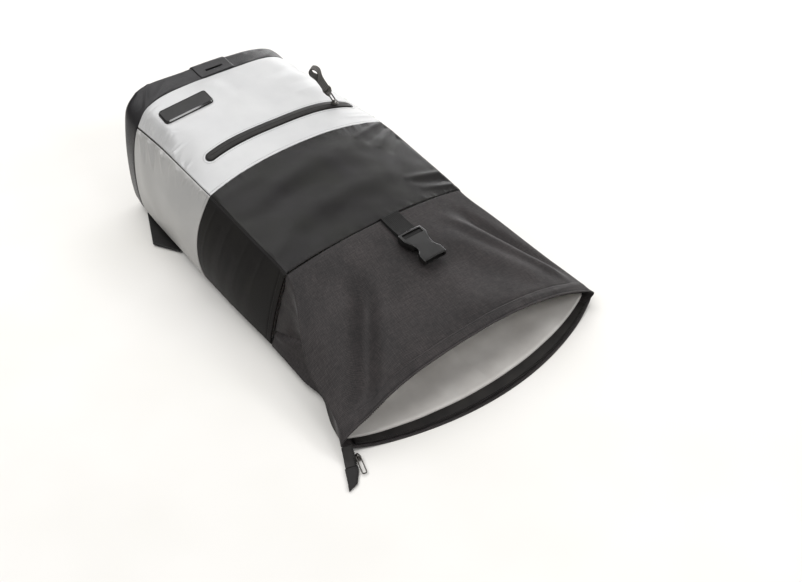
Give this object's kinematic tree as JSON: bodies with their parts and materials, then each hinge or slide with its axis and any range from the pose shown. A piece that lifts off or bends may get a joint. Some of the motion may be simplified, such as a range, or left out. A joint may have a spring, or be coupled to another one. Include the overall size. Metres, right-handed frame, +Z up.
{
  "type": "roll-top laptop backpack",
  "caption": "Roll-top laptop backpack lying on its back with the top unrolled and open; silver front pocket with zip, side-release socket on webbing, zip along the mouth, flat shoulder straps",
  "frame": {"origin": "on the floor under the middle of the bag's outline seen from above, with the zip's loose end counted in", "axes": "the mouth faces -Y and the base +Y; the front of the bag looks up along +Z; +X is to the right seen from the mouth"},
  "size_m": [0.4424, 0.6314, 0.2124],
  "materials": {
    "silver_coated_nylon": "satin",
    "black_nylon": "satin",
    "roll_weave": "matte",
    "base_nylon": "satin",
    "back_mesh": "matte",
    "pale_lining": "matte",
    "webbing": "matte",
    "zip_tape": "satin",
    "soft_rubber": "satin",
    "moulded_plastic": "satin",
    "dark_metal": "satin"
  },
  "bodies": {
    "bag": {"base_panel": "base_nylon", "base_light_tab": "webbing", "pocket_front": "silver_coated_nylon", "pocket_side_left": "silver_coated_nylon", "pocket_side_right": "silver_coated_nylon", "body_front": "black_nylon", "body_side_left": "black_nylon", "body_side_right": "black_nylon", "back_panel": "back_mesh", "roll_top": "roll_weave", "roll_lining": "pale_lining", "mouth_zip_front_tape": "zip_tape", "mouth_zip_back_tape": "zip_tape", "mouth_zip_tail": "zip_tape", "mouth_zip_end_tab": "webbing", "mouth_zip_slider": "dark_metal", "badge_plate": "soft_rubber", "pocket_zip": "zip_tape", "pocket_zip_slider": "dark_metal", "buckle_socket": "moulded_plastic", "closure_webbing": "webbing", "closure_strap": "webbing", "shoulder_strap_left": "back_mesh", "shoulder_strap_right": "back_mesh", "strap_webbing_left": "webbing", "strap_webbing_right": "webbing", "strap_wing_left": "black_nylon", "strap_wing_right": "black_nylon"},
    "pocket_pull": {"pocket_pull_clip": "dark_metal", "pocket_pull_loop": "webbing"},
    "mouth_pull": {"mouth_zip_pull": "dark_metal"}
  },
  "joints": [
    {"name": "pocket_pull_swing", "type": "hinge", "parent": "bag", "child": "pocket_pull", "pos_m": [0.1119, 0.13479, 0.16168], "axis": [0.665, 0.7444, -0.0612], "range_deg": [-27, 120]},
    {"name": "mouth_pull_swing", "type": "hinge", "parent": "bag", "child": "mouth_pull", "pos_m": [-0.1838, -0.2833, 0.0049], "axis": [-0.9397, 0.342, 0], "range_deg": [0, 110]}
  ]
}
